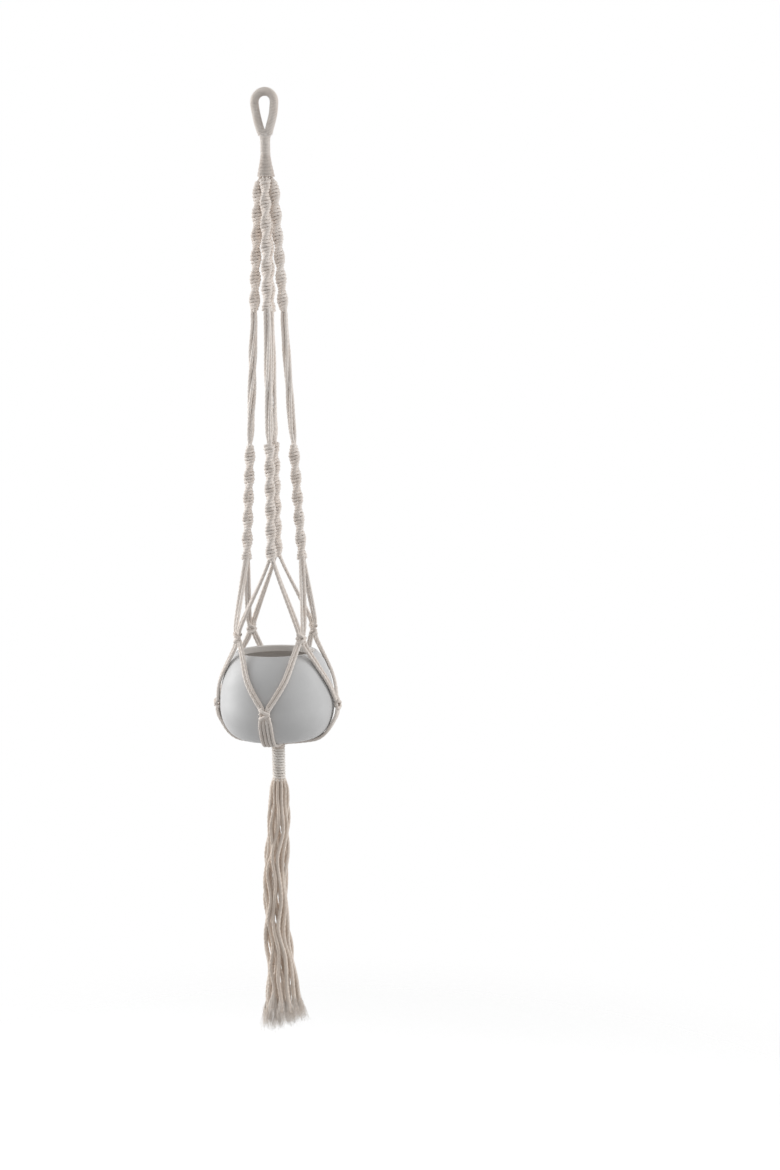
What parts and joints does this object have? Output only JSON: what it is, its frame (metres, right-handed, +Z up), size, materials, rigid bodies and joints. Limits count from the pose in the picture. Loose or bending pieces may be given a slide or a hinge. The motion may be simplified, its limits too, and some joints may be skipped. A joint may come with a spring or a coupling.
{
  "type": "hanging macrame planter",
  "caption": "Knotted cotton cord plant hanger with spiral sinnet legs, a netted cradle holding a round ceramic pot, and a long tassel.",
  "frame": {"origin": "where a hook bears, inside the top of the hanging eye", "axes": "+Z up along the hanging planter, +X towards the right leg, -Y towards the front leg; the eye opens along Y"},
  "size_m": [0.1496, 0.1496, 1.0631],
  "materials": {
    "cotton_cord": "matte",
    "whipping_cord": "matte",
    "ceramic_pot": "satin"
  },
  "bodies": {
    "hanging_loop": {"eye_cord_bundle": "cotton_cord", "eye_whipping": "whipping_cord"},
    "neck": {"neck_cord_bundle": "cotton_cord", "neck_whipping": "whipping_cord"},
    "cradle": {"front_core_cords": "cotton_cord", "front_knotting_cords": "cotton_cord", "front_upper_sinnet": "cotton_cord", "front_lower_sinnet": "cotton_cord", "front_upper_net_cords": "cotton_cord", "front_lower_knot": "cotton_cord", "front_base_cords": "cotton_cord", "right_core_cords": "cotton_cord", "right_knotting_cords": "cotton_cord", "right_upper_sinnet": "cotton_cord", "right_lower_sinnet": "cotton_cord", "right_upper_net_cords": "cotton_cord", "right_lower_knot": "cotton_cord", "right_base_cords": "cotton_cord", "back_core_cords": "cotton_cord", "back_knotting_cords": "cotton_cord", "back_upper_sinnet": "cotton_cord", "back_lower_sinnet": "cotton_cord", "back_upper_net_cords": "cotton_cord", "back_lower_knot": "cotton_cord", "back_base_cords": "cotton_cord", "left_core_cords": "cotton_cord", "left_knotting_cords": "cotton_cord", "left_upper_sinnet": "cotton_cord", "left_lower_sinnet": "cotton_cord", "left_upper_net_cords": "cotton_cord", "left_lower_knot": "cotton_cord", "left_base_cords": "cotton_cord", "front_right_upper_knot": "cotton_cord", "front_right_lower_net_cords": "cotton_cord", "back_right_upper_knot": "cotton_cord", "back_right_lower_net_cords": "cotton_cord", "back_left_upper_knot": "cotton_cord", "back_left_lower_net_cords": "cotton_cord", "front_left_upper_knot": "cotton_cord", "front_left_lower_net_cords": "cotton_cord"},
    "pot": {"pot": "ceramic_pot"},
    "gathering": {"gathering_bundle": "cotton_cord", "gathering_wrap": "cotton_cord"},
    "tassel": {"front_tassel_cords": "cotton_cord", "right_tassel_cords": "cotton_cord", "back_tassel_cords": "cotton_cord", "left_tassel_cords": "cotton_cord"}
  },
  "joints": [
    {"name": "neck_nod", "type": "hinge", "parent": "hanging_loop", "child": "neck", "pos_m": [0, 0, -0.043], "axis": [1, 0, 0], "range_deg": [-30, 30]},
    {"name": "cradle_swing", "type": "hinge", "parent": "neck", "child": "cradle", "pos_m": [0, 0, -0.085], "axis": [0, 1, 0], "range_deg": [-30, 30]},
    {"name": "pot_turn", "type": "hinge", "parent": "cradle", "child": "pot", "pos_m": [0, 0, -0.671], "axis": [0, 0, 1], "continuous": true},
    {"name": "gathering_nod", "type": "hinge", "parent": "cradle", "child": "gathering", "pos_m": [0, 0, -0.7325], "axis": [1, 0, 0], "range_deg": [-20, 20]},
    {"name": "tassel_sway", "type": "hinge", "parent": "gathering", "child": "tassel", "pos_m": [0, 0, -0.772], "axis": [0, 1, 0], "range_deg": [-30, 30]}
  ]
}
